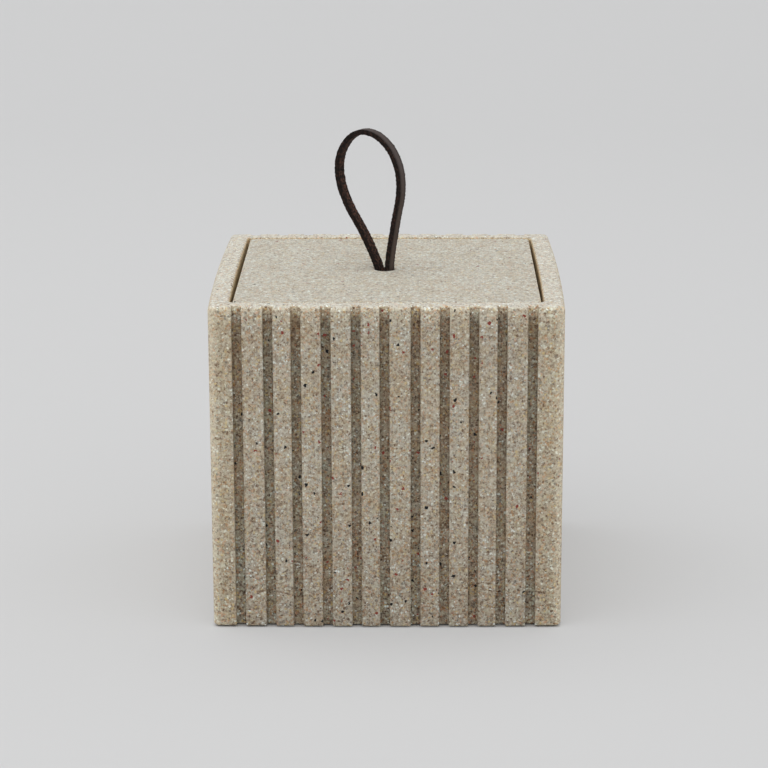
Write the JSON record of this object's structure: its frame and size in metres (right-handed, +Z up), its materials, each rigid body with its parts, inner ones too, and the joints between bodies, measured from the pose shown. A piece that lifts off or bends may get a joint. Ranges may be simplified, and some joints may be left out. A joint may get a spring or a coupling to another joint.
{
  "type": "storage jar",
  "caption": "Square cast storage jar with upright ribs front and back, an inset lid lifted by a standing leather loop, and pads under the base.",
  "frame": {"origin": "middle of the jar's footprint, on the surface that the foot pads stand on", "axes": "+Z up, front face with ribs towards -Y, +X to the viewer's right"},
  "size_m": [0.1016, 0.1016, 0.1365],
  "materials": {
    "cast_stone": "matt sand and resin casting with fine pale, tan and brown grains and sparse dark specks",
    "strap_leather": "dark brown flat leather lace, smooth outside, rough inside and cut edges",
    "pad_rubber": "matt soft anti-slip pad"
  },
  "bodies": {
    "jar": {"jar_body": "cast_stone", "foot_pad_front_left": "pad_rubber", "foot_pad_front_right": "pad_rubber", "foot_pad_back_left": "pad_rubber", "foot_pad_back_right": "pad_rubber"},
    "lid": {"lid": "cast_stone"},
    "strap": {"strap_knot": "strap_leather", "strap_neck": "strap_leather"},
    "loop": {"pull_loop": "strap_leather"}
  },
  "joints": [
    {"name": "lid_lift", "type": "slide", "parent": "jar", "child": "lid", "axis": [0, 0, 1], "range_m": [0, 0.05]},
    {"name": "loop_swivel", "type": "hinge", "parent": "lid", "child": "strap", "pos_m": [-0.0009, 0, 0.0947], "axis": [0, 0, 1], "continuous": true},
    {"name": "loop_lean", "type": "hinge", "parent": "strap", "child": "loop", "pos_m": [-0.0009, 0, 0.0977], "axis": [-0.5, -0.866, 0], "range_deg": [-70, 50], "stiffness_Nm_per_rad": 0.01, "deforming": ["strap_neck"]}
  ]
}
